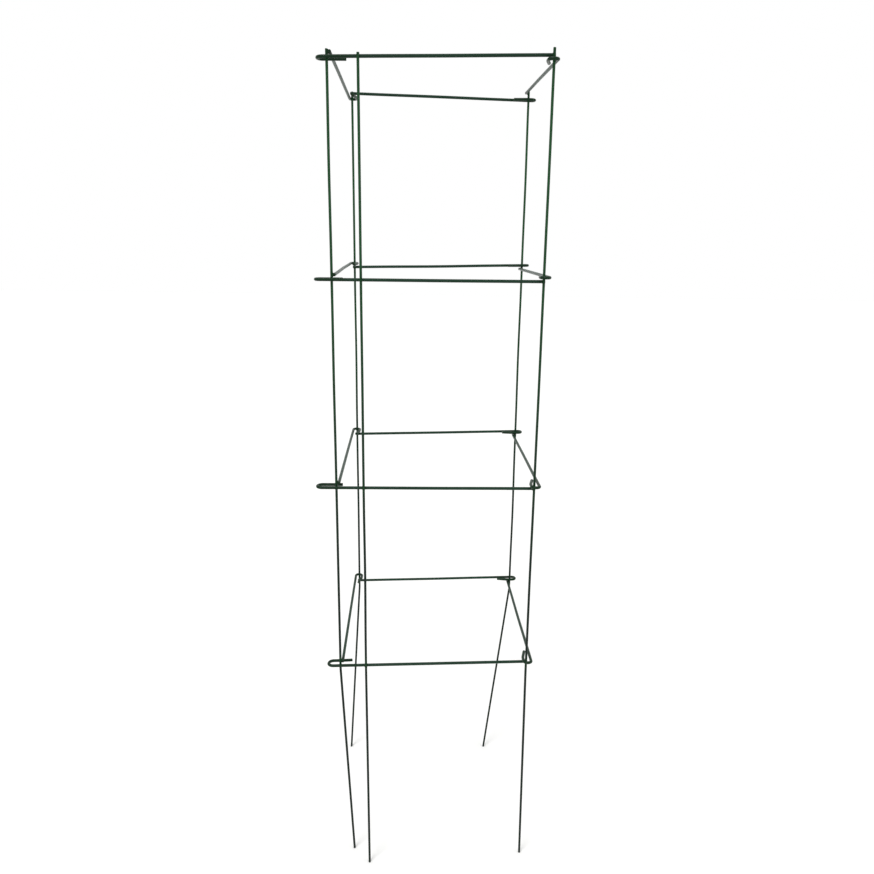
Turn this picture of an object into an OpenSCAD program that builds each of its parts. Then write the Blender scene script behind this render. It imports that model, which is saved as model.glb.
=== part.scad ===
// Square folding tomato cage: four welded wire panels, hinged corner to corner.
// Each panel is one post with four rungs welded to it. The far end of every rung is bent into a
// hairpin round the next panel's post, so the cage folds flat as a parallelogram. The front panel's
// hairpins are open hooks, which hold the front left post, and a latch post stiffens them.
// Millimetres, +Z up, +Y to the back. The origin is on the ground, midway between the corner posts.

/* [Cage] */
// Distance between neighbouring corner posts, axis to axis
side = 280; // [220:5:400]
// Height of the bottom welds above the ground
leg_h = 350; // [200:2:500]
// Height of the lower storey, from bottom welds to lower welds
lower_storey = 282; // [150:2:400]
// Height of the middle storey, from lower welds to upper welds
middle_storey = 288; // [150:2:400]
// Height of the upper storey, from upper welds to top welds
upper_storey = 268; // [150:2:400]
// Depth that the front right post's lower weld is below the others
front_right_lower_drop = 6.5; // [0:0.5:12]
// Depth that the front right post's upper weld is below the others
front_right_upper_drop = 6; // [0:0.5:12]
// Height that the back right post's top weld is above the others
back_right_rise = 4.5; // [0:0.5:12]
// Length of a corner post above the axis of its top weld
post_top = 3.5; // [3:0.5:40]
// Length of the front right post above the axis of its top weld
front_right_top = 8; // [3:0.5:40]

/* [Legs] */
// Length of straight post below a bottom weld, before its leg leans aside
leg_straight = 14; // [12:1:60]
// Distance that the tip of the front right leg has sprung to the right of its post
front_right_leg_aside = 4; // [-60:1:60]
// Distance that the tip of the front right leg has sprung towards the back
front_right_leg_back = 5; // [-60:1:60]
// Distance that the tip of the back right leg has sprung to the right of its post
back_right_leg_aside = -40; // [-60:1:60]
// Distance that the tip of the back right leg has sprung towards the back
back_right_leg_back = -10; // [-60:1:60]
// Distance that the tip of the back left leg has sprung to the right of its post
back_left_leg_aside = -19; // [-60:1:60]
// Distance that the tip of the back left leg has sprung towards the back
back_left_leg_back = -15; // [-60:1:60]
// Distance that the tip of the front left leg has sprung to the right of its post
front_left_leg_aside = 15; // [-60:1:60]
// Distance that the tip of the front left leg has sprung towards the back
front_left_leg_back = 10; // [-60:1:60]
// Distance that the tip of the latch post's leg has sprung to the right of its post
latch_leg_aside = 3; // [-60:1:60]
// Distance that the tip of the latch post's leg has sprung towards the back
latch_leg_back = -12; // [-60:1:60]

/* [Wire] */
// Diameter of the post wire, with its coating
post_d = 3.6; // [2.4:0.1:4.2]
// Diameter of the rung wire, with its coating
rung_d = 4.4; // [2.4:0.1:5]
// Depth that a rung sinks into its post as it is welded
weld_sink = 0.3; // [0.1:0.05:0.5]
// Length of a rung's cut end past the axis of its welded post
weld_overhang = 2.5; // [2:0.5:10]

/* [Hinge loops] */
// Play of a post across the bend of a hinge loop
loop_play = 3.2; // [2.4:0.2:5]
// Room inside the bend of a loop, ahead of the post
loop_room = 5.8; // [4:0.2:10]
// Length of a loop's tail behind the axis of the post
loop_tail = 24; // [14:1:40]
// Running clearance between a post and the strand that it bears on
post_seat = 0.3; // [0.2:0.05:0.5]
// Height of the gap between a loop and the weld that it sits over
stack_gap = 1.3; // [1.2:0.1:3]
// Height of the gap between a top loop and the weld that keeps it from lifting off
top_gap = 1.8; // [1.4:0.1:10]

/* [Hooks] */
// Play of the front left post across the bend of a hook
hook_play = 6.2; // [3:0.2:9]
// Room inside the bend of the bottom hook, ahead of the post
bottom_hook_room = 14; // [7:0.2:24]
// Room inside the bend of the lower hook
lower_hook_room = 23; // [7:0.2:24]
// Room inside the bend of the upper hook
upper_hook_room = 17.6; // [7:0.2:24]
// Room inside the bend of the top hook
top_hook_room = 8; // [7:0.2:24]
// Length of a hook's tail from the inside of its bend
hook_length = 33; // [30:1:44]
// Height of the gap between a hook and the weld above it
hook_gap = 1.8; // [1.4:0.1:6]
// Distance from the front left post to the latch post, along the front rungs
latch_offset = 39; // [30:1:60]
// Length of the latch post above the axis of its top weld
latch_top = 4; // [3:0.5:40]

/* [Hidden] */
$fn = 48;
knuckle = 0.2;
wire_green = [0.12, 0.24, 0.16];

// Panels go round the cage. In a panel's own frame its post stands on the Z axis, its rungs run
// along +X to the next panel's post, and the outside of the cage is at +Y.
PANELS = ["front", "right", "back", "left"];
POSTS = ["front_right_post", "back_right_post", "back_left_post", "front_left_post"];
LEVELS = ["bottom", "lower", "upper", "top"];
front = 0;
top = len(LEVELS) - 1;
corner = side / 2;
panel_corner = [[corner, -corner], [corner, corner], [-corner, corner], [-corner, -corner]];
panel_turn = [180, 270, 0, 90];

// Heights of the welds, and how far the welds of each panel's post are off them
lower_z = leg_h + lower_storey;
upper_z = lower_z + middle_storey;
top_z = upper_z + upper_storey;
weld_z = [leg_h, lower_z, upper_z, top_z];
weld_shift = [
    [0, -front_right_lower_drop, -front_right_upper_drop, 0],
    [0, 0, 0, back_right_rise],
    [0, 0, 0, 0],
    [0, 0, 0, 0]
];
knee_z = leg_h - leg_straight;

// Of each corner post, in the order of POSTS
post_above = [front_right_top, post_top, post_top, post_top];
leg_shift = [
    [front_right_leg_aside, front_right_leg_back],
    [back_right_leg_aside, back_right_leg_back],
    [back_left_leg_aside, back_left_leg_back],
    [front_left_leg_aside, front_left_leg_back]
];
latch_leg_shift = [latch_leg_aside, latch_leg_back];

// Distance from a rung's axis to the axis of its own post, and of a post that turns beside it
weld_gauge = (post_d + rung_d) / 2 - weld_sink;
seat_gauge = (post_d + rung_d) / 2 + post_seat;

// Half the spacing of a hairpin's strands at its bend, and where the bend's centre is past the post
loop_half = (post_d + loop_play + rung_d) / 2;
loop_ahead = loop_room - loop_play / 2;
hook_half = (post_d + hook_play + rung_d) / 2;
hook_room = [bottom_hook_room, lower_hook_room, upper_hook_room, top_hook_room];
hook_tail = hook_length - (post_d + hook_play) / 2;

// Distance from a rung's axis to the axis of the next post: a loop's tail bears on the post, but the
// main strand does in a top loop or a hook
loop_gauge = 2 * loop_half - seat_gauge;

// Height of a rung's far end over the weld of the next post
loop_rise = rung_d + stack_gap;
top_rise = -(rung_d + top_gap);
hook_rise = -(rung_d + hook_gap);

function rung_name(panel, level) = str(panel, "_", level, "_rung");

// A rung's far end goes by the weld of the next panel's post, but in a top loop by the common height
function weld_height(panel, level) = weld_z[level] + weld_shift[panel][level];
function next_panel(panel) = (panel + len(PANELS) - 1) % len(PANELS);
function next_height(panel, level) = level == top ? top_z : weld_height(next_panel(panel), level);
function gauge(panel, level) = panel == front || level == top ? seat_gauge : loop_gauge;
function ahead(panel, level) = panel == front ? hook_room[level] - hook_play / 2 : loop_ahead;
function end_rise(panel, level) = panel == front ? hook_rise : level == top ? top_rise : loop_rise;

// Length of a rung from its weld to abreast of the next post, its rise, and its angles in plan and upwards
function run(panel, level) = sqrt(side ^ 2 + weld_gauge ^ 2 - gauge(panel, level) ^ 2);
function rise(panel, level) = next_height(panel, level) + end_rise(panel, level) - weld_height(panel, level);
function swing(panel, level) = atan(weld_gauge / side) + asin(gauge(panel, level) / norm([side, weld_gauge]));
function slope(panel, level) = atan(rise(panel, level) / run(panel, level));

module on_panel(panel) {
    translate(panel_corner[panel])
        rotate(panel_turn[panel])
            children();
}

// The frame of a rung: its bend starts at the origin, the main strand comes from its weld along the
// X axis, and the inside of the cage is at -Y
module along_rung(panel, level) {
    translate([0, -weld_gauge, weld_height(panel, level)])
        rotate([0, -slope(panel, level), swing(panel, level)])
            translate([run(panel, level) + ahead(panel, level), 0, 0])
                children();
}

// The straight length of a rung, from its bend back to its cut end past the weld
module main_strand(panel, level) {
    rotate([0, -90, 0])
        cylinder(d = rung_d, h = run(panel, level) + ahead(panel, level) + weld_overhang);
}

// The half turn at a rung's far end and the straight tail that comes back beside the main strand
module hairpin(half, tail) {
    translate([0, -half, 0])
        rotate(-90)
            rotate_extrude(angle = 180)
                translate([half, 0])
                    circle(d = rung_d);
    translate([0, -2 * half, 0])
        rotate([0, -90, 0])
            cylinder(d = rung_d, h = tail);
}

module rung(panel, level) {
    color(wire_green)
        on_panel(panel)
            along_rung(panel, level) {
                main_strand(panel, level);
                if (panel == front)
                    hairpin(hook_half, hook_tail);
                else
                    hairpin(loop_half, loop_tail + loop_ahead);
            }
}

// A post's wire: a straight post down to its knee, the slight knuckle of the bend there, and a straight
// leg that leans towards +X, reaches the ground aside of the post by bow and is cut off level
module post_wire(height, bow) {
    lean = atan(bow / knee_z);
    start = post_d / 2 * sin(lean) + knuckle / 4;
    translate([0, 0, knee_z]) {
        cylinder(d = post_d, h = height - knee_z);
        sphere(d = post_d + knuckle);
    }
    difference() {
        translate([0, 0, knee_z])
            rotate([0, 180 - lean, 0])
                translate([0, 0, start])
                    cylinder(d = post_d, h = norm([bow, knee_z]) - start + post_d);
        translate([bow, 0, -2 * post_d])
            cube(4 * post_d, center = true);
    }
}

// A post in its panel's frame, with a seat for each rung that is welded to it
module seated_post(panel, place, height, shift) {
    difference() {
        translate(place)
            rotate(atan2(shift.y, shift.x) - panel_turn[panel])
                post_wire(height, norm(shift));
        for (level = [0 : top])
            along_rung(panel, level)
                main_strand(panel, level);
    }
}

module corner_post(panel) {
    color(wire_green)
        on_panel(panel)
            seated_post(panel, [0, 0], weld_height(panel, top) + post_above[panel], leg_shift[panel]);
}

// The second post of the front panel stands outside its rungs, beside the hooks
module latch_post() {
    along = run(front, top) - latch_offset;
    weld_top = top_z + rise(front, top) * along / run(front, top);
    turn = swing(front, top);
    place = [along * cos(turn) - weld_gauge * sin(turn), along * sin(turn) + weld_gauge * (cos(turn) - 1)];
    color(wire_green)
        on_panel(front)
            seated_post(front, place, weld_top + latch_top, latch_leg_shift);
}

for (panel = [0 : len(PANELS) - 1])
    corner_post(panel);
latch_post();
for (panel = [0 : len(PANELS) - 1], level = [0 : top])
    rung(panel, level);
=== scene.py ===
import math
import random

import bpy
from mathutils import Matrix, Vector


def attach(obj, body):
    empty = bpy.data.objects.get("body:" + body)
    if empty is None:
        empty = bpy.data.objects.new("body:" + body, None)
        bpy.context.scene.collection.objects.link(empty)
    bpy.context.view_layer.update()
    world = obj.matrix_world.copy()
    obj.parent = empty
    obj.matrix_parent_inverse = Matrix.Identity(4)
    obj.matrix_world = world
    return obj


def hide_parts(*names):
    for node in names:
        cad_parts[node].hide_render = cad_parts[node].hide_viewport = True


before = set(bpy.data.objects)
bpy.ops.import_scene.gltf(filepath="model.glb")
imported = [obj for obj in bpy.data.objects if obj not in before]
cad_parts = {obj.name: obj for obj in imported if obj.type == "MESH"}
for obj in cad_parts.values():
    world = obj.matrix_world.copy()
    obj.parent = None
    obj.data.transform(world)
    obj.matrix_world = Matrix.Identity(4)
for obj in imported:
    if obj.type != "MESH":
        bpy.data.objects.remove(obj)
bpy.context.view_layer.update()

print("frame loaded:", len(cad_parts), "CAD wires")

# Lengths are in metres and angles in degrees, with the same driving sizes as the CAD part
cage = {
    "side": 0.280,
    "weldHeights": {"bottom": 0.350, "lower": 0.632, "upper": 0.920, "top": 1.188},
    "weldSink": 0.0003,    # depth that a rung sinks into its post
    "postSeat": 0.0003,    # running clearance of a post and the strand that it bears on
}
levels = list(cage["weldHeights"])
corner = cage["side"] / 2
# Each panel's own post, the turn of its rungs in plan, and the panel whose post its hairpins go round.
# A post stands above its top weld, its leg's tip has sprung to the right and to the back, and some of
# its welds are off the common heights.
panels = {
    "front": {"post": "front_right_post", "place": (corner, -corner), "turn": 180, "next": "left",
              "above": 0.008, "legShift": (0.004, 0.005), "weldShift": {"lower": -0.0065, "upper": -0.006}},
    "right": {"post": "back_right_post", "place": (corner, corner), "turn": 270, "next": "front",
              "above": 0.0035, "legShift": (-0.040, -0.010), "weldShift": {"top": 0.0045}},
    "back": {"post": "back_left_post", "place": (-corner, corner), "turn": 0, "next": "right",
             "above": 0.0035, "legShift": (-0.019, -0.015), "weldShift": {}},
    "left": {"post": "front_left_post", "place": (-corner, -corner), "turn": 90, "next": "back",
             "above": 0.0035, "legShift": (0.015, 0.010), "weldShift": {}},
}

post = {
    "radius": 0.0018,
    "sides": 20,
    "legStraight": 0.014,  # below the bottom weld, before the leg leans aside
    "legBend": 0.030,      # radius of the bend between them
    "bendSteps": 4,
    "legSteps": 24,
    "ringStep": 0.012,     # most between the wire's rings
    "topRing": 0.003,      # from the top to the next ring
    "weldRing": 0.002,     # between the rings near a weld
    "ringsBelow": 7,
    "ringsAbove": 5,
    "cutTilt": 5.0,        # slant that the cropping tool leaves
    "cutRound": 0.0004,
    "cutReach": 0.0012,    # depth of the coat that is worn at the top
    "bow": 0.0008,         # most that a storey of it strays from straight
    "bowReach": 0.115,
    "scuffReach": 0.070,   # height of the coat that soil has scuffed
    "rubReach": 0.0030,    # height of the ring that a hinge loop polishes
    "jointShadeReach": 0.0090,   # height of the painted shade at a weld, where the rungs cross the post
}
rung = {
    "radius": 0.0022,
    "sides": 20,
    "overhang": 0.0025,    # past the axis of its own post
    "ringStep": 0.010,
    "seatSteps": 6,        # rings of the tail beside the post, in its turn and behind that
    "turnSteps": 5,
    "tailSteps": 4,
    "cutTilt": 7.0,
    "cutRound": 0.0005,
    "cutNear": 0.00209,    # worn coat at a cut end, from the middle of the cut
    "cutFar": 0.00297,
    "bow": 0.0005,
    "bowSideways": 0.4,    # most of the bow that lies sideways
    "bowReach": 0.095,
    "rubNear": 0.0020,     # polished coat, from the axis of the post inside the hairpin
    "rubFar": 0.0033,
    "jointShadeFade": 0.012,     # length over which the painted shade at a joint fades out
}
loop = {
    "play": 0.0032, "room": 0.0058, "tail": 0.024, "stackGap": 0.0013, "topGap": 0.0018,
    "bendSteps": 22,
    "tailTurn": -14.0,     # the tail is pinched back towards the rung, so the post can't slip out
    "turnRadius": 0.030,
}
hook = {
    "play": 0.0062, "length": 0.033, "gap": 0.0018,
    "rooms": {"bottom": 0.014, "lower": 0.023, "upper": 0.0176, "top": 0.008},
    "bendSteps": 24,
    "tailTurn": 3.0,       # the tail is sprung a little open as a mouth
    "turnRadius": 0.025,
}
latch = {"offset": 0.039, "above": 0.004, "legShift": (0.003, -0.012)}
wearShare = {"rub": 0.45, "scuff": 0.55, "cut": 0.60}
shaping = {
    "rimSteps": 3,         # of the round rim of a cut end
    "mergeReach": 0.00001,
    "smoothAngle": 50,
    "ringGrip": 0.001,     # how much further off than its nearest point a ring's points may be
}
weldGauge = post["radius"] + rung["radius"] - cage["weldSink"]
seatGauge = post["radius"] + rung["radius"] + cage["postSeat"]


def selectOnly(obj):
    bpy.ops.object.select_all(action="DESELECT")
    obj.select_set(True)
    bpy.context.view_layer.objects.active = obj


def applyPlace(obj):
    selectOnly(obj)
    bpy.ops.object.transform_apply(location=True, rotation=True, scale=True)


# Wire bending: a disc is fed forward and bent as a wire bender does it, in the XY plane
def startWire(name, radius, sides, at):
    bpy.ops.object.select_all(action="DESELECT")
    bpy.ops.mesh.primitive_circle_add(vertices=sides, radius=radius, fill_type="NGON", location=at,
                                      rotation=(0, math.pi / 2, 0))
    obj = bpy.context.object
    obj.name = name
    applyPlace(obj)
    bpy.ops.object.mode_set(mode="EDIT")
    bpy.ops.mesh.select_mode(type="FACE")
    bpy.ops.mesh.select_all(action="SELECT")
    return obj


def feed(pen, length, steps):
    step = Vector((math.cos(pen["heading"]), math.sin(pen["heading"]), 0)) * (length / steps)
    for _ in range(steps):
        bpy.ops.mesh.extrude_region_move(TRANSFORM_OT_translate={"value": step})
    pen["at"] = pen["at"] + step * steps


def bend(pen, degrees, radius, steps):
    angle = math.radians(degrees)
    leftward = Vector((-math.sin(pen["heading"]), math.cos(pen["heading"]), 0))
    toCentre = leftward * math.copysign(radius, angle)
    centre = pen["at"] + toCentre
    bpy.ops.mesh.spin(steps=steps, angle=-angle, center=centre, axis=(0, 0, 1))
    pen["at"] = centre - Matrix.Rotation(angle, 3, "Z") @ toCentre
    pen["heading"] += angle


def selectCap(obj, at, sides):
    bpy.ops.object.mode_set(mode="EDIT")
    bpy.ops.mesh.select_mode(type="FACE")
    bpy.ops.mesh.select_all(action="DESELECT")
    bpy.ops.object.mode_set(mode="OBJECT")
    caps = [face for face in obj.data.polygons if len(face.vertices) == sides]
    cap = min(caps, key=lambda face: (face.center - at).length)
    cap.select = True
    bpy.ops.object.mode_set(mode="EDIT")
    return cap.center.copy()


# A cropped end: the cap is slanted, and the coat rounds its rim
def cropEnd(obj, at, sides, tilt, roundOff):
    middle = selectCap(obj, at, sides)
    bpy.ops.transform.rotate(value=math.radians(tilt), orient_axis="Z", orient_type="GLOBAL",
                             center_override=middle)
    bpy.ops.mesh.bevel(offset=roundOff, segments=shaping["rimSteps"], affect="EDGES")
    bpy.ops.object.mode_set(mode="OBJECT")


def closeUp(obj):
    bpy.ops.object.mode_set(mode="EDIT")
    bpy.ops.mesh.select_all(action="SELECT")
    bpy.ops.mesh.remove_doubles(threshold=shaping["mergeReach"])
    bpy.ops.mesh.normals_make_consistent(inside=False)
    bpy.ops.object.mode_set(mode="OBJECT")
    selectOnly(obj)
    bpy.ops.object.shade_smooth_by_angle(angle=math.radians(shaping["smoothAngle"]))


# A given curve: the ring nearest the spot is pushed, and the wire on both sides of it follows
def bowWire(obj, spot, shift, reach):
    selectOnly(obj)
    bpy.ops.object.mode_set(mode="EDIT")
    bpy.ops.mesh.select_mode(type="VERT")
    bpy.ops.mesh.select_all(action="DESELECT")
    bpy.ops.object.mode_set(mode="OBJECT")
    nearest = min((vert.co - spot).length for vert in obj.data.vertices)
    for vert in obj.data.vertices:
        vert.select = (vert.co - spot).length < nearest + shaping["ringGrip"]
    bpy.ops.object.mode_set(mode="EDIT")
    bpy.ops.transform.translate(value=shift, use_proportional_edit=True, proportional_edit_falloff="SMOOTH",
                                proportional_size=reach)
    bpy.ops.object.mode_set(mode="OBJECT")


def placeCopy(model, name, place):
    copy = model.copy()
    copy.data = model.data.copy()
    copy.name = name
    bpy.context.scene.collection.objects.link(copy)
    copy.matrix_world = place
    applyPlace(copy)
    return copy


def smoothStep(value, low, high):
    share = min(1, max(0, (value - low) / (high - low)))
    return share * share * (3 - 2 * share)


# A value for each point of a wire, which its coat reads by name
def paintPoints(obj, name, valueAt):
    painted = obj.data.attributes.new(name, "FLOAT", "POINT")
    for vert, value in zip(obj.data.vertices, painted.data):
        value.value = valueAt(vert.co)


def weldHeight(panel, level):
    return cage["weldHeights"][level] + panels[panel]["weldShift"].get(level, 0)


# Where a rung runs: from its weld to abreast of the next post, turned in plan and sloped to clear the
# welds there. Its far end goes by the next post's weld, but in a top loop by the common height. The
# main strand of a hook or a top loop bears on the post, and the tail of any other loop does.
def rungRun(panel, level):
    hooked = panel == "front"
    kind = hook if hooked else loop
    half = (2 * post["radius"] + kind["play"] + 2 * rung["radius"]) / 2
    gauge = seatGauge if hooked or level == "top" else 2 * half - seatGauge
    if hooked:
        rise = -(2 * rung["radius"] + hook["gap"])
    elif level == "top":
        rise = -(2 * rung["radius"] + loop["topGap"])
    else:
        rise = 2 * rung["radius"] + loop["stackGap"]
    aimed = cage["weldHeights"]["top"] if level == "top" else weldHeight(panels[panel]["next"], level)
    rise += aimed - weldHeight(panel, level)
    length = math.sqrt(cage["side"] ** 2 + weldGauge ** 2 - gauge ** 2)
    ahead = (hook["rooms"][level] if hooked else loop["room"]) - kind["play"] / 2
    return {
        "half": half, "gauge": gauge, "rise": rise, "length": length, "ahead": ahead,
        "tail": hook["length"] - post["radius"] - hook["play"] / 2 if hooked else loop["tail"] + ahead,
        "swing": math.atan(weldGauge / cage["side"]) + math.asin(gauge / math.hypot(cage["side"], weldGauge)),
        "slope": math.atan(rise / length),
    }


# A rung is bent with the start of its bend at the origin, and this takes it to its panel
def rungPlace(panel, level):
    run = rungRun(panel, level)
    toPost = Matrix.Translation((*panels[panel]["place"], weldHeight(panel, level)))
    toPost = toPost @ Matrix.Rotation(math.radians(panels[panel]["turn"]), 4, "Z")
    toWeld = Matrix.Translation((0, -weldGauge, 0)) @ Matrix.Rotation(run["swing"], 4, "Z")
    toWeld = toWeld @ Matrix.Rotation(-run["slope"], 4, "Y")
    return toPost @ toWeld @ Matrix.Translation((run["length"] + run["ahead"], 0, 0))


def bendRung(name, kind, run):
    mainLength = rung["overhang"] + run["length"] + run["ahead"]
    sides = rung["sides"]
    start = Vector((-mainLength, 0, 0))
    obj = startWire(name, rung["radius"], sides, start)
    pen = {"at": start, "heading": 0.0}
    feed(pen, mainLength, round(mainLength / rung["ringStep"]))
    bend(pen, -180, run["half"], kind["bendSteps"])
    abreast = run["ahead"] + post["radius"]
    feed(pen, abreast, rung["seatSteps"])
    turnLength = abs(math.radians(kind["tailTurn"])) * kind["turnRadius"]
    bend(pen, kind["tailTurn"], kind["turnRadius"], rung["turnSteps"])
    feed(pen, run["tail"] - abreast - turnLength, rung["tailSteps"])
    bpy.ops.object.mode_set(mode="OBJECT")
    cropEnd(obj, start, sides, rung["cutTilt"], rung["cutRound"])
    cropEnd(obj, pen["at"], sides, -rung["cutTilt"], rung["cutRound"])
    closeUp(obj)
    held = Vector((-run["ahead"], -run["gauge"]))
    ends = (start, pen["at"])
    weldX = start.x + rung["overhang"]

    def wearAt(spot):
        rub = 1 - smoothStep((spot.xy - held).length, rung["rubNear"], rung["rubFar"])
        fromCut = min((spot - end).length for end in ends)
        cut = 1 - smoothStep(fromCut, rung["cutNear"], rung["cutFar"])
        return max(wearShare["rub"] * rub, wearShare["cut"] * cut)

    # painted shade: the coat is darker in the hairpin and at the weld, where the wires cross
    def jointShadeAt(spot):
        atBend = smoothStep(spot.x, -run["tail"] - rung["jointShadeFade"], -run["tail"])
        atWeld = 1 - smoothStep(spot.x, weldX, weldX + rung["jointShadeFade"])
        return max(atBend, atWeld)

    paintPoints(obj, "wear", wearAt)
    paintPoints(obj, "pool", jointShadeAt)
    return obj


# Ring heights of a post's straight length, from its top down, closer at its welds and hinges
def ringHeights(top, knee, welds):
    marks = {top - post["topRing"], knee}
    for height in welds:
        for count in range(-post["ringsBelow"], post["ringsAbove"] + 1):
            marks.add(height + count * post["weldRing"])
    clearOfRim = top - 2 * post["cutRound"]
    rings = [top]
    for mark in sorted((mark for mark in marks if knee <= mark < clearOfRim), reverse=True):
        steps = math.ceil((rings[-1] - mark) / post["ringStep"])
        rings += [rings[-1] + (mark - rings[-1]) * step / steps for step in range(1, steps + 1)]
    return rings


# A post's wire is fed from its top down to its knee, bent aside there, fed on as a leg and cut off at
# the ground. It is made lying along X, with its top at the origin, and then stood up.
def bendPost(name, place, height, legShift, welds):
    shift = Vector(legShift)
    knee = cage["weldHeights"]["bottom"] - post["legStraight"]
    lean = math.atan(shift.length / knee)
    inset = post["legBend"] * math.tan(lean / 2)
    slant = post["radius"] * math.sin(math.radians(post["cutTilt"]))
    start = Vector((slant, 0, 0))
    obj = startWire(name, post["radius"], post["sides"], start)
    pen = {"at": start, "heading": 0.0}
    rings = ringHeights(height - slant, knee + inset, welds)
    for high, low in zip(rings, rings[1:]):
        feed(pen, high - low, 1)
    bend(pen, math.degrees(lean), post["legBend"], post["bendSteps"])
    feed(pen, math.hypot(shift.length, knee) - inset + 2 * post["radius"], post["legSteps"])
    bpy.ops.mesh.select_all(action="SELECT")
    bpy.ops.mesh.bisect(plane_co=(height, 0, 0), plane_no=(1, 0, 0), use_fill=True, clear_outer=True)
    bpy.ops.object.mode_set(mode="OBJECT")
    cropEnd(obj, start, post["sides"], post["cutTilt"], post["cutRound"])
    cropEnd(obj, Vector((height, shift.length, 0)), post["sides"], 0, post["cutRound"])
    closeUp(obj)
    aside = Vector((*shift, 0)).normalized()
    downwards = Vector((0, 0, -1))
    stand = Matrix((downwards, aside, downwards.cross(aside))).transposed().to_4x4()
    obj.matrix_world = Matrix.Translation((*place, height)) @ stand
    applyPlace(obj)
    return obj


loopModel = bendRung("loopBench", loop, rungRun("back", "bottom"))
topModel = bendRung("topLoopBench", loop, rungRun("back", "top"))
hookModels = {}
for level in levels:
    hookModels[level] = bendRung(f"{level}HookBench", hook, rungRun("front", level))
print("bench rungs bent:", len(loopModel.data.polygons), "faces on a hinge rung")


def rungModel(panel, level):
    if panel == "front":
        return hookModels[level]
    return topModel if level == "top" else loopModel


random.seed(47)
wires = {}
for panel in panels:
    for level in levels:
        place = rungPlace(panel, level)
        wire = placeCopy(rungModel(panel, level), f"{panel}{level.capitalize()}RungWire", place)
        run = rungRun(panel, level)
        middle = place @ Vector((-run["ahead"] - run["length"] / 2, 0, 0))
        sideways = random.uniform(-rung["bowSideways"], rung["bowSideways"])
        across = place.to_3x3() @ Vector((0, sideways, random.uniform(-1, 1)))
        bowWire(wire, middle, across * rung["bow"], rung["bowReach"])
        wires[f"{panel}_{level}_rung"] = (wire, panel)
for model in (loopModel, topModel, *hookModels.values()):
    bpy.data.objects.remove(model)
print("rungs placed:", len(wires))


# Height of each ring that a hairpin rubs on a post
def rubHeights(node):
    holders = [panel for panel, facts in panels.items() if panels[facts["next"]]["post"] == node]
    return [weldHeight(panel, level) + rungRun(panel, level)["rise"] for panel in holders for level in levels]


def standPost(node, panel, place, height, legShift):
    words = node.split("_")
    name = words[0] + "".join(word.capitalize() for word in words[1:]) + "Wire"
    welds = [weldHeight(panel, level) for level in levels]
    wire = bendPost(name, place, height, legShift, welds)
    rubbed = rubHeights(node)

    def nearness(spot, heights, reach):
        return max((math.exp(-((spot.z - mark) / reach) ** 2) for mark in heights), default=0)

    def wearAt(spot):
        rub = nearness(spot, rubbed, post["rubReach"])
        scuff = max(0, 1 - spot.z / post["scuffReach"]) ** 2
        cut = 1 - smoothStep(height - spot.z, 0, post["cutReach"])
        return max(wearShare["rub"] * rub, wearShare["scuff"] * scuff, wearShare["cut"] * cut)

    # Painted shade at each weld, where a rung crosses the post
    def jointShadeAt(spot):
        return nearness(spot, welds, post["jointShadeReach"])

    paintPoints(wire, "wear", wearAt)
    paintPoints(wire, "pool", jointShadeAt)
    for low, high in zip(welds, welds[1:]):
        shift = Vector((random.uniform(-1, 1), random.uniform(-1, 1), 0)) * post["bow"]
        bowWire(wire, Vector((*place, (low + high) / 2)), shift, post["bowReach"])
    wires[node] = (wire, panel)


for panel, facts in panels.items():
    height = weldHeight(panel, "top") + facts["above"]
    standPost(facts["post"], panel, facts["place"], height, facts["legShift"])

# The latch post stands outside the front rungs, beside the hooks
frontRun = rungRun("front", "top")
latchAlong = frontRun["length"] - latch["offset"]
latchDrop = frontRun["rise"] * latchAlong / frontRun["length"]
swing = frontRun["swing"]
inPanel = Vector((latchAlong * math.cos(swing) - weldGauge * math.sin(swing),
                  latchAlong * math.sin(swing) + weldGauge * (math.cos(swing) - 1), 0))
toFront = Matrix.Rotation(math.radians(panels["front"]["turn"]), 3, "Z")
latchPlace = (Vector((*panels["front"]["place"], 0)) + toFront @ inPanel).xy
latchTop = weldHeight("front", "top") + latchDrop + latch["above"]
standPost("latch_post", "front", latchPlace, latchTop, latch["legShift"])
print("posts placed, the latch post at", [round(v, 4) for v in latchPlace])

# A resistance weld under its coat: metal squeezed out between the crossing wires, eased into both
weld = {
    "shy": 0.00006,        # the stubs stay this far inside the wires
    "stub": 0.011,
    "stubSides": 40,
    "nugget": (0.0031, 0.0016, 0.0029),
    "nuggetSegments": 28,
    "nuggetRings": 14,
    "voxel": 0.00024,
    "easing": 14,
    "easingFactor": 0.5,
    "lump": 0.00022,
    "lumpSize": 0.0016,
    "trimEnd": 0.0019,     # short of the rung's cut end
    "trimAlong": 0.0044,
    "trimUp": 0.0029,      # below the cut tops of the posts
    "trimReach": 0.000001,
}


# The two stubs and the nugget between them, joined as one rough shape
def joinWeldStubs():
    bpy.ops.object.select_all(action="DESELECT")
    bpy.ops.mesh.primitive_cylinder_add(vertices=weld["stubSides"], radius=post["radius"] - weld["shy"],
                                        depth=weld["stub"])
    upright = bpy.context.object
    bpy.ops.mesh.primitive_cylinder_add(vertices=weld["stubSides"], radius=rung["radius"] - weld["shy"],
                                        depth=weld["stub"], location=(0, -weldGauge, 0),
                                        rotation=(0, math.pi / 2, 0))
    crossing = bpy.context.object
    bpy.ops.mesh.primitive_uv_sphere_add(segments=weld["nuggetSegments"], ring_count=weld["nuggetRings"],
                                         radius=1, scale=weld["nugget"],
                                         location=(0, cage["weldSink"] / 2 - post["radius"], 0))
    bead = bpy.context.object
    for obj in (upright, crossing):
        obj.select_set(True)
    bpy.ops.object.join()
    bead.name = "weldBench"
    bpy.ops.object.transform_apply(location=True, rotation=True, scale=True)
    return bead


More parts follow.
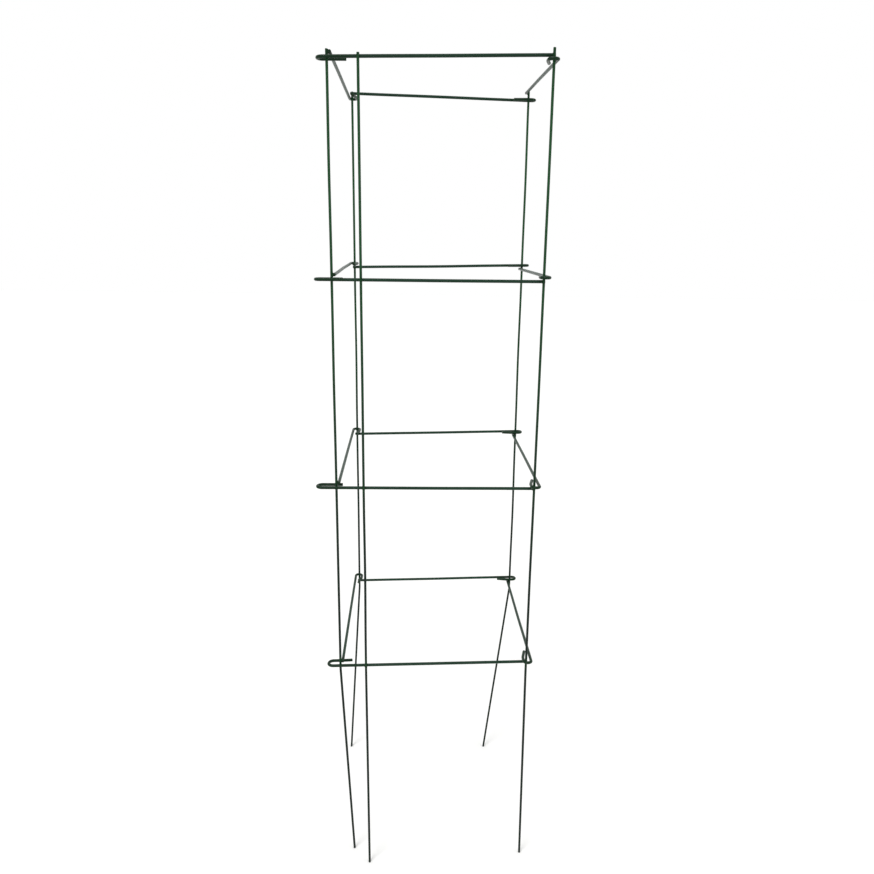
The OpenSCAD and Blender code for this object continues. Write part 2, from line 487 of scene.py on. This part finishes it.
def modelWeld():
    bead = joinWeldStubs()
    remesh = bead.modifiers.new("union", "REMESH")
    remesh.mode = "VOXEL"
    remesh.voxel_size = weld["voxel"]
    easing = bead.modifiers.new("easing", "SMOOTH")
    easing.factor = weld["easingFactor"]
    easing.iterations = weld["easing"]
    clouds = bpy.data.textures.new("weldLumps", "CLOUDS")
    clouds.noise_scale = weld["lumpSize"]
    lumps = bead.modifiers.new("lumps", "DISPLACE")
    lumps.texture = clouds
    lumps.texture_coords = "LOCAL"
    lumps.strength = weld["lump"]
    for modifier in ("union", "easing", "lumps"):
        bpy.ops.object.modifier_apply(modifier=modifier)
    cuts = [((-weld["trimEnd"], 0, 0), (-1, 0, 0)), ((weld["trimAlong"], 0, 0), (1, 0, 0)),
            ((0, 0, weld["trimUp"]), (0, 0, 1)), ((0, 0, -weld["trimUp"]), (0, 0, -1))]
    for at, outward in cuts:
        bpy.ops.object.mode_set(mode="EDIT")
        bpy.ops.mesh.select_all(action="SELECT")
        bpy.ops.mesh.bisect(plane_co=at, plane_no=outward, use_fill=True, clear_outer=True,
                            threshold=weld["trimReach"])
        bpy.ops.object.mode_set(mode="OBJECT")
    closeUp(bead)
    return bead


# Where a panel's rung is welded: to its own post and, at the front, to the latch post
def weldSpots(panel, level):
    height = weldHeight(panel, level)
    spots = [(*panels[panel]["place"], height)]
    if panel == "front":
        spots.append((*latchPlace, height + latchAlong * math.tan(rungRun(panel, level)["slope"])))
    return spots


weldModel = modelWeld()
weldPieces = {}
for panel, facts in panels.items():
    beads = []
    for level in levels:
        facing = Matrix.Rotation(math.radians(facts["turn"]) + rungRun(panel, level)["swing"], 4, "Z")
        for spot in weldSpots(panel, level):
            beads.append(placeCopy(weldModel, "bead", Matrix.Translation(spot) @ facing))
    bpy.ops.object.select_all(action="DESELECT")
    for bead in beads:
        bead.select_set(True)
    bpy.context.view_layer.objects.active = beads[0]
    bpy.ops.object.join()
    beads[0].name = f"{panel}PanelWelds"
    weldPieces[panel] = beads[0]
bpy.data.objects.remove(weldModel)
print("welds placed on", len(weldPieces), "panels")

nodeGap = {"across": 220, "down": 280}


# Small helpers for node trees
def emptyTree(owner):
    owner.use_nodes = True
    owner.node_tree.nodes.clear()
    return owner.node_tree


def addNode(tree, kind, **settings):
    node = tree.nodes.new(kind)
    for key, value in settings.items():
        setattr(node, key, value)
    return node


def wireUp(tree, *links):
    for source, target in links:
        tree.links.new(source, target)


def addMath(tree, operation, first, second, third=None):
    node = addNode(tree, "ShaderNodeMath", operation=operation)
    for socket, value in zip(node.inputs, (first, second, third)):
        if isinstance(value, (int, float)):
            socket.default_value = value
        elif value is not None:
            tree.links.new(value, socket)
    return node.outputs[0]


def addWeighted(tree, first, firstShare, second, secondShare):
    return addMath(tree, "MULTIPLY_ADD", first, firstShare, addMath(tree, "MULTIPLY", second, secondShare))


def addNoise(tree, place, scale, detail, roughness=0.5):
    node = addNode(tree, "ShaderNodeTexNoise")
    node.inputs["Scale"].default_value = scale
    node.inputs["Detail"].default_value = detail
    node.inputs["Roughness"].default_value = roughness
    tree.links.new(place, node.inputs["Vector"])
    return node.outputs["Fac"]


def addRange(tree, value, low, high, outLow=0.0, outHigh=1.0):
    node = addNode(tree, "ShaderNodeMapRange", interpolation_type="SMOOTHSTEP")
    for name, number in (("From Min", low), ("From Max", high), ("To Min", outLow), ("To Max", outHigh)):
        node.inputs[name].default_value = number
    tree.links.new(value, node.inputs["Value"])
    return node.outputs["Result"]


def addMix(tree, share, first, second):
    node = addNode(tree, "ShaderNodeMix", data_type="RGBA")
    colors = [socket for socket in node.inputs if socket.type == "RGBA"]
    for socket, value in zip((node.inputs["Factor"], *colors), (share, first, second)):
        if isinstance(value, tuple):
            socket.default_value = value
        else:
            tree.links.new(value, socket)
    return [socket for socket in node.outputs if socket.type == "RGBA"][0]


def newGroup(name, inputs, outputs):
    tree = bpy.data.node_groups.new(name, "ShaderNodeTree")
    for way, sockets in (("INPUT", inputs), ("OUTPUT", outputs)):
        for label, kind in sockets:
            tree.interface.new_socket(name=label, in_out=way, socket_type=kind)
    return tree, addNode(tree, "NodeGroupInput"), addNode(tree, "NodeGroupOutput")


# Nodes stand in columns, each to the right of all that feeds it
def arrangeNodes(tree):
    columns = {}

    def columnOf(node):
        if node.name not in columns:
            feeding = [link.from_node for socket in node.inputs for link in socket.links]
            columns[node.name] = 1 + max((columnOf(source) for source in feeding), default=-1)
        return columns[node.name]

    filled = {}
    for node in tree.nodes:
        column = columnOf(node)
        row = filled.get(column, 0)
        node.location = (column * nodeGap["across"], -row * nodeGap["down"])
        filled[column] = row + 1


# The coat as it dried: slow drift and mottling of the green, orange peel, thick and thin places, and
# pinholes where the mottling is high. The first five are texture scales, in cells to the metre.
film = {
    "drift": 11, "mottle": 340, "peel": 1250, "thick": 300, "pinhole": 620,
    "mottleShare": 0.35, "driftShare": 0.65, "deepAt": 0.36, "toneAt": 0.64,
    "sheenSpread": 0.30,
    "peelShare": 0.72, "thickShare": 0.28,
    "pinholeCore": 0.08, "pinholeSize": 0.16, "pinholeFrom": 0.56, "pinholeTo": 0.64,
    "pinholeColor": (0.004, 0.009, 0.006, 1), "pinholeTint": 0.6, "pinholeRough": 0.2, "pinholeDepth": 0.4,
}


def makeFilmGroup():
    tree, given, made = newGroup(
        "coatFilm",
        [("Tone", "NodeSocketColor"), ("Deep", "NodeSocketColor"), ("Sheen", "NodeSocketFloat")],
        [("Color", "NodeSocketColor"), ("Roughness", "NodeSocketFloat"), ("Height", "NodeSocketFloat")])
    place = addNode(tree, "ShaderNodeTexCoord").outputs["Object"]
    drift = addNoise(tree, place, film["drift"], detail=3)
    mottle = addNoise(tree, place, film["mottle"], detail=4, roughness=0.6)
    peel = addNoise(tree, place, film["peel"], detail=2)
    thick = addNoise(tree, place, film["thick"], detail=2)

    cells = addNode(tree, "ShaderNodeTexVoronoi")
    cells.inputs["Scale"].default_value = film["pinhole"]
    tree.links.new(place, cells.inputs["Vector"])
    hole = addRange(tree, cells.outputs["Distance"], film["pinholeCore"], film["pinholeSize"], 1, 0)
    rare = addRange(tree, mottle, film["pinholeFrom"], film["pinholeTo"])
    hole = addMath(tree, "MULTIPLY", hole, rare)

    blend = addWeighted(tree, mottle, film["mottleShare"], drift, film["driftShare"])
    share = addRange(tree, blend, film["deepAt"], film["toneAt"])
    green = addMix(tree, share, given.outputs["Deep"], given.outputs["Tone"])
    tint = addMath(tree, "MULTIPLY", hole, film["pinholeTint"])
    color = addMix(tree, tint, green, film["pinholeColor"])

    uneven = addMath(tree, "SUBTRACT", mottle, 0.5)
    rough = addMath(tree, "MULTIPLY_ADD", uneven, film["sheenSpread"], given.outputs["Sheen"])
    rough = addMath(tree, "MULTIPLY_ADD", hole, film["pinholeRough"], rough)
    height = addWeighted(tree, peel, film["peelShare"], thick, film["thickShare"])
    height = addMath(tree, "MULTIPLY_ADD", hole, -film["pinholeDepth"], height)
    wireUp(tree, (color, made.inputs["Color"]), (rough, made.inputs["Roughness"]),
           (height, made.inputs["Height"]))
    arrangeNodes(tree)
    return tree


# Where the wear attribute is high, the coat is polished and then broken through to the steel
chips = {
    "fine": 1500, "broad": 420, "fineShare": 0.4, "broadShare": 0.6,
    "wearShare": 0.42, "grainShare": 0.72, "breakLow": 0.66, "breakHigh": 0.74,
    "polishLow": 0.15, "polishHigh": 0.80,
    "steel": (0.26, 0.26, 0.25, 1), "rust": (0.11, 0.075, 0.050, 1), "rustLow": 0.48, "rustHigh": 0.60,
}


def makeWearGroup():
    tree, given, made = newGroup(
        "coatWear", [("Wear", "NodeSocketFloat")],
        [("Bare", "NodeSocketFloat"), ("Polish", "NodeSocketFloat"), ("Steel", "NodeSocketColor")])
    place = addNode(tree, "ShaderNodeTexCoord").outputs["Object"]
    fine = addNoise(tree, place, chips["fine"], detail=3, roughness=0.6)
    broad = addNoise(tree, place, chips["broad"], detail=3)
    grain = addWeighted(tree, fine, chips["fineShare"], broad, chips["broadShare"])
    reach = addWeighted(tree, given.outputs["Wear"], chips["wearShare"], grain, chips["grainShare"])
    bare = addRange(tree, reach, chips["breakLow"], chips["breakHigh"])
    polish = addRange(tree, given.outputs["Wear"], chips["polishLow"], chips["polishHigh"])
    rusty = addRange(tree, broad, chips["rustLow"], chips["rustHigh"])
    steel = addMix(tree, rusty, chips["steel"], chips["rust"])
    wireUp(tree, (bare, made.inputs["Bare"]), (polish, made.inputs["Polish"]), (steel, made.inputs["Steel"]))
    arrangeNodes(tree)
    return tree


filmGroup = makeFilmGroup()
wearGroup = makeWearGroup()


# Painted shade: the coat fades from its clean green to the darker, duller one of the legs, with a ragged
# border
def addLegShade(tree, soil, green):
    place = addNode(tree, "ShaderNodeTexCoord").outputs["Object"]
    parts = addNode(tree, "ShaderNodeSeparateXYZ")
    tree.links.new(place, parts.inputs["Vector"])
    patches = addNoise(tree, place, soil["patches"], detail=3, roughness=0.6)
    uneven = addMath(tree, "SUBTRACT", patches, 0.5)
    edge = addMath(tree, "MULTIPLY_ADD", uneven, soil["ragged"], parts.outputs["Z"])
    share = addRange(tree, edge, soil["to"], soil["from"], 1, 0)
    return addMix(tree, share, green, soil["color"])


# Dark green semi-gloss coat, with linear colours. The posts get darker and duller towards the ground, as
# painted shade.
gloss = {"ior": 1.5, "specular": 0.14, "polish": 0.08, "bump": 1.0, "bumpDepth": 0.00016, "bareDepth": 0.8}
postLook = {
    "tone": (0.0115, 0.0580, 0.0190, 1), "deep": (0.0088, 0.0460, 0.0148, 1),
    "jointShadeColor": (0.0032, 0.0300, 0.0082, 1), "sheen": 0.32,
    "soil": {"color": (0.0050, 0.0120, 0.0090, 1), "from": 1.10, "to": 0.40, "ragged": 0.25, "patches": 45},
}
rungLook = {
    "tone": (0.0080, 0.0298, 0.0160, 1), "deep": (0.0060, 0.0236, 0.0124, 1),
    "jointShadeColor": (0.0022, 0.0178, 0.0058, 1), "sheen": 0.32,
}
# The welds are darker still, as painted shade where the wires cross.
weldLook = {"tone": (0.0024, 0.0230, 0.0064, 1), "deep": (0.0018, 0.0172, 0.0048, 1), "sheen": 0.30}


def makeCoat(name, look):
    material = bpy.data.materials.new(name)
    tree = emptyTree(material)
    out = addNode(tree, "ShaderNodeOutputMaterial")
    shader = addNode(tree, "ShaderNodeBsdfPrincipled")
    shader.inputs["IOR"].default_value = gloss["ior"]
    shader.inputs["Specular IOR Level"].default_value = gloss["specular"]
    coat = addNode(tree, "ShaderNodeGroup", node_tree=filmGroup)
    coat.inputs["Tone"].default_value = look["tone"]
    coat.inputs["Deep"].default_value = look["deep"]
    coat.inputs["Sheen"].default_value = look["sheen"]
    worn = addNode(tree, "ShaderNodeAttribute", attribute_name="wear")
    wear = addNode(tree, "ShaderNodeGroup", node_tree=wearGroup)
    green = coat.outputs["Color"]
    # painted shade: darker and duller towards the bottom of the legs
    if "soil" in look:
        green = addLegShade(tree, look["soil"], green)
    # Painted shade: darker green at the welds and hairpins, where the wires cross
    if "jointShadeColor" in look:
        pool = addNode(tree, "ShaderNodeAttribute", attribute_name="pool")
        green = addMix(tree, pool.outputs["Fac"], green, look["jointShadeColor"])
    bare = wear.outputs["Bare"]
    color = addMix(tree, bare, green, wear.outputs["Steel"])
    rough = addMath(tree, "MULTIPLY_ADD", wear.outputs["Polish"], -gloss["polish"], coat.outputs["Roughness"])
    height = addMath(tree, "MULTIPLY_ADD", bare, -gloss["bareDepth"], coat.outputs["Height"])
    bump = addNode(tree, "ShaderNodeBump")
    bump.inputs["Strength"].default_value = gloss["bump"]
    bump.inputs["Distance"].default_value = gloss["bumpDepth"]
    wireUp(tree, (worn.outputs["Fac"], wear.inputs["Wear"]), (height, bump.inputs["Height"]),
           (color, shader.inputs["Base Color"]), (rough, shader.inputs["Roughness"]),
           (bare, shader.inputs["Metallic"]), (bump.outputs["Normal"], shader.inputs["Normal"]),
           (shader.outputs["BSDF"], out.inputs["Surface"]))
    arrangeNodes(tree)
    return material


postCoat = makeCoat("postCoat", postLook)
rungCoat = makeCoat("rungCoat", rungLook)
weldCoat = makeCoat("weldCoat", weldLook)

for node, (wire, panel) in wires.items():
    wire.data.materials.clear()
    wire.data.materials.append(rungCoat if node.endswith("rung") else postCoat)
    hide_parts(node)
    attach(wire, f"{panel}_panel")
for panel, beads in weldPieces.items():
    beads.data.materials.clear()
    beads.data.materials.append(weldCoat)
    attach(beads, f"{panel}_panel")
print("coats applied:", [coat.name for coat in (postCoat, rungCoat, weldCoat)])

# Studio: a pale floor, a white surround, one broad key and a weaker fill
studio = {
    "floorSize": 24.0, "floorColor": (0.80, 0.80, 0.79, 1), "floorLift": 0.05,
    "surround": 0.75, "surroundColor": (1, 1, 1, 1),
    "lampAt": (0, 0, 3),
    "keyStrength": 1.7, "keyAngle": 24, "keyTurn": (38, 0, -32),
    "fillStrength": 0.6, "fillAngle": 50, "fillTurn": (55, 0, 58),
}


# One for rays that see the background, straight or in a gloss or glass, and zero for those that light
def seenRay(tree):
    path = addNode(tree, "ShaderNodeLightPath").outputs
    seen = addMath(tree, "MAXIMUM", path["Is Camera Ray"], path["Is Glossy Ray"])
    return addMath(tree, "MAXIMUM", seen, path["Is Transmission Ray"])


def layFloor():
    bpy.ops.object.select_all(action="DESELECT")
    bpy.ops.mesh.primitive_plane_add(size=studio["floorSize"], location=(0, 0, 0))
    floor = bpy.context.object
    floor.name = "studioFloor"
    paper = bpy.data.materials.new("paleFloor")
    tree = emptyTree(paper)
    matte = addNode(tree, "ShaderNodeBsdfDiffuse")
    matte.inputs["Color"].default_value = studio["floorColor"]
    lift = addNode(tree, "ShaderNodeEmission")
    both = addNode(tree, "ShaderNodeAddShader")
    out = addNode(tree, "ShaderNodeOutputMaterial")
    lifted = addMath(tree, "MULTIPLY", seenRay(tree), studio["floorLift"])
    wireUp(tree, (lifted, lift.inputs["Strength"]), (matte.outputs["BSDF"], both.inputs[0]),
           (lift.outputs["Emission"], both.inputs[1]), (both.outputs["Shader"], out.inputs["Surface"]))
    arrangeNodes(tree)
    floor.data.materials.append(paper)
    return floor


def setSurround():
    world = bpy.data.worlds.new("whiteSurround")
    bpy.context.scene.world = world
    tree = emptyTree(world)
    back = addNode(tree, "ShaderNodeBackground")
    back.inputs["Color"].default_value = studio["surroundColor"]
    out = addNode(tree, "ShaderNodeOutputWorld")
    strength = addMath(tree, "MULTIPLY_ADD", seenRay(tree), 1 - studio["surround"], studio["surround"])
    wireUp(tree, (strength, back.inputs["Strength"]), (back.outputs["Background"], out.inputs["Surface"]))
    arrangeNodes(tree)


layFloor()
setSurround()
for lamp in ("key", "fill"):
    turn = [math.radians(angle) for angle in studio[lamp + "Turn"]]
    bpy.ops.object.light_add(type="SUN", rotation=turn, location=studio["lampAt"])
    sun = bpy.context.object
    sun.name = lamp + "Light"
    sun.data.energy = studio[lamp + "Strength"]
    sun.data.angle = math.radians(studio[lamp + "Angle"])
print("studio set")

# The photograph's view: focal length in pixels of an 874 pixel frame, and the camera's turn
view = {
    "focal": 754.5, "frame": 874, "sensor": 36, "clipStart": 0.01,
    "at": (0.0023, -1.1555, 0.9673), "yaw": -0.04, "pitch": 14.72, "roll": -0.71,
}
yaw, pitch, roll = (math.radians(view[name]) for name in ("yaw", "pitch", "roll"))
forward = Vector((math.sin(yaw) * math.cos(pitch), math.cos(yaw) * math.cos(pitch), -math.sin(pitch)))
sideways = Vector((math.cos(yaw), -math.sin(yaw), 0))
downwards = forward.cross(sideways)
right = sideways * math.cos(roll) + downwards * math.sin(roll)
up = sideways * math.sin(roll) - downwards * math.cos(roll)
bpy.ops.object.camera_add(location=view["at"])
camera = bpy.context.object
camera.name = "photoCamera"
camera.matrix_world = Matrix.Translation(view["at"]) @ Matrix((right, up, -forward)).transposed().to_4x4()
camera.data.sensor_width = view["sensor"]
camera.data.lens = view["focal"] / view["frame"] * view["sensor"]
camera.data.clip_start = view["clipStart"]
bpy.context.scene.camera = camera
bpy.context.scene.view_settings.view_transform = "Standard"

bpy.context.view_layer.update()
